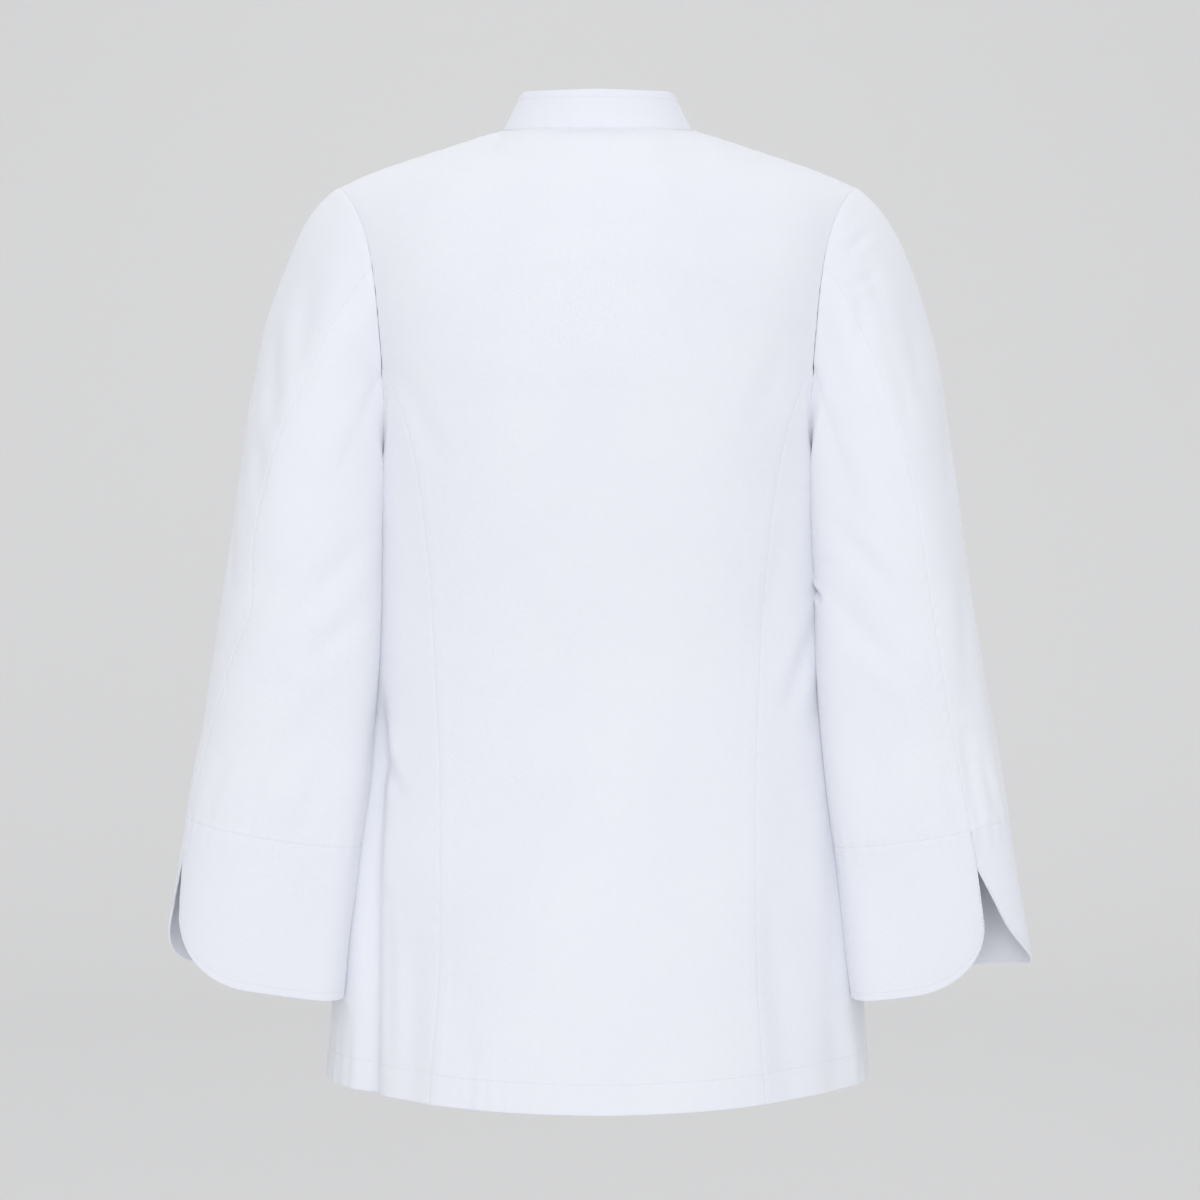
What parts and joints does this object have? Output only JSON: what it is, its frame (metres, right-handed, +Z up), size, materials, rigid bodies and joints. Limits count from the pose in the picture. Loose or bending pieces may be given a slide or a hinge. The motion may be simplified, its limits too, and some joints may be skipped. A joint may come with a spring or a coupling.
{
  "type": "chef jacket",
  "caption": "Hollow long-sleeved chef jacket filled out as worn, with standing band collar, back princess seams, buttoned double-breasted front, two-piece sleeves and deep vented cuffs.",
  "frame": {"origin": "midway between the shoulders, level with the points where the shoulder seams meet the collar, where the wearer's shoulders hold the jacket", "axes": "+Z up towards the collar, -Y towards the buttoned front, +Y towards the back, +X towards the wearer's left"},
  "size_m": [0.6482, 0.2772, 0.7432],
  "materials": {
    "body_cloth": "plain white twill",
    "collar_cloth": "plain white twill, two layers, topstitched",
    "cuff_cloth": "plain white twill, two layers, topstitched edge",
    "button_plastic": "satin white"
  },
  "bodies": {
    "root": {"back_panel": "body_cloth", "side_back_left": "body_cloth", "side_back_right": "body_cloth", "front_left": "body_cloth", "front_right": "body_cloth", "collar": "collar_cloth", "sleeve_top_left": "body_cloth", "sleeve_under_left": "body_cloth", "cuff_left": "cuff_cloth", "sleeve_top_right": "body_cloth", "sleeve_under_right": "body_cloth", "cuff_right": "cuff_cloth", "button_1": "button_plastic", "button_2": "button_plastic", "button_3": "button_plastic", "button_4": "button_plastic", "button_5": "button_plastic", "button_6": "button_plastic", "button_7": "button_plastic", "button_8": "button_plastic", "button_9": "button_plastic", "button_10": "button_plastic"}
  },
  "joints": []
}
